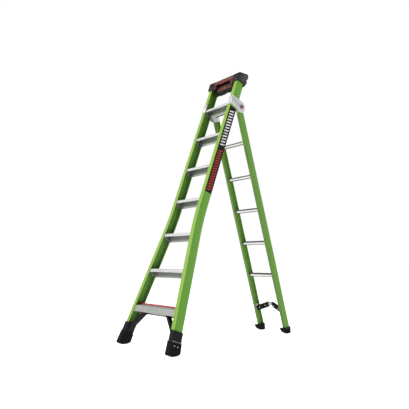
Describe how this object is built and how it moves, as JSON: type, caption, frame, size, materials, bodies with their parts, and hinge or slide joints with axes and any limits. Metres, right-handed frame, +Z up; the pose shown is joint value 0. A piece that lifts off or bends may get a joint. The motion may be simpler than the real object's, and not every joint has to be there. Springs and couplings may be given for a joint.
{
  "type": "combination ladder",
  "caption": "Combination ladder: flared stepladder front with flat treads, narrow rear section with round-bottomed rungs, swivelling wall pad and V-bar, hinged near the top.",
  "frame": {"origin": "centre of the footprint, on the floor", "axes": "+Z up, -Y towards the climber's side (front), +X to the climber's right"},
  "size_m": [0.7174, 1.499, 2.2974],
  "materials": {
    "fibreglass": "satin pultruded glass fibre, green",
    "aluminium": "mill finish extrusion with grip ribs",
    "bright_steel": "zinc plated",
    "rubber": "matt black",
    "black_plastic": "fine texture",
    "red_plastic": "satin"
  },
  "bodies": {
    "front_section": {"front_rail_left": "fibreglass", "front_rail_right": "fibreglass", "tread_1": "aluminium", "tread_2": "aluminium", "tread_3": "aluminium", "tread_4": "aluminium", "tread_5": "aluminium", "tread_6": "aluminium", "tread_7": "aluminium", "front_boot_left": "black_plastic", "front_boot_right": "black_plastic", "front_foot_left": "rubber", "front_foot_right": "rubber", "knee_brace_left": "black_plastic", "knee_brace_right": "black_plastic", "top_cap_left": "black_plastic", "top_cap_right": "black_plastic", "top_bar": "red_plastic", "top_shelf": "black_plastic", "pad_arm_left": "red_plastic", "pad_arm_right": "red_plastic", "hinge_bracket_left": "bright_steel", "hinge_bracket_right": "bright_steel", "pivot_pin_left": "bright_steel", "pivot_pin_right": "bright_steel"},
    "rear_section": {"rear_rail_left": "fibreglass", "rear_rail_right": "fibreglass", "rung_1": "aluminium", "rung_2": "aluminium", "rung_3": "aluminium", "rung_4": "aluminium", "rung_5": "aluminium", "hinge_tube": "aluminium", "v_bar": "aluminium", "v_grip_left": "rubber", "v_grip_right": "rubber", "v_mount_left": "bright_steel", "v_mount_right": "bright_steel", "rear_foot_left": "rubber", "rear_foot_right": "rubber", "hinge_boss_left": "black_plastic", "hinge_boss_right": "black_plastic"},
    "wall_pad": {"wall_pad": "rubber", "pad_face": "red_plastic"},
    "lock_knob_left": {"lock_knob_left": "red_plastic"},
    "lock_knob_right": {"lock_knob_right": "red_plastic"},
    "cue_bar": {"cue_bar": "red_plastic"}
  },
  "joints": [
    {"name": "rear_hinge", "type": "hinge", "parent": "front_section", "child": "rear_section", "pos_m": [0, 0.1184, 1.98165], "axis": [1, 0, 0], "range_deg": [-37.2, 142.8]},
    {"name": "pad_swivel", "type": "hinge", "parent": "front_section", "child": "wall_pad", "pos_m": [0, 0.13542, 2.206], "axis": [1, 0, 0], "range_deg": [-90, 90]},
    {"name": "knob_pull_left", "type": "slide", "parent": "front_section", "child": "lock_knob_left", "axis": [-1, 0, 0], "range_m": [0, 0.01], "stiffness_N_per_m": 800, "springref_m": -0.004},
    {"name": "knob_pull_right", "type": "slide", "parent": "front_section", "child": "lock_knob_right", "axis": [1, 0, 0], "range_m": [0, 0.01], "stiffness_N_per_m": 800, "springref_m": -0.004},
    {"name": "cue_press", "type": "slide", "parent": "front_section", "child": "cue_bar", "axis": [0, 0, -1], "range_m": [0, 0.003], "stiffness_N_per_m": 3000, "springref_m": -0.001}
  ]
}
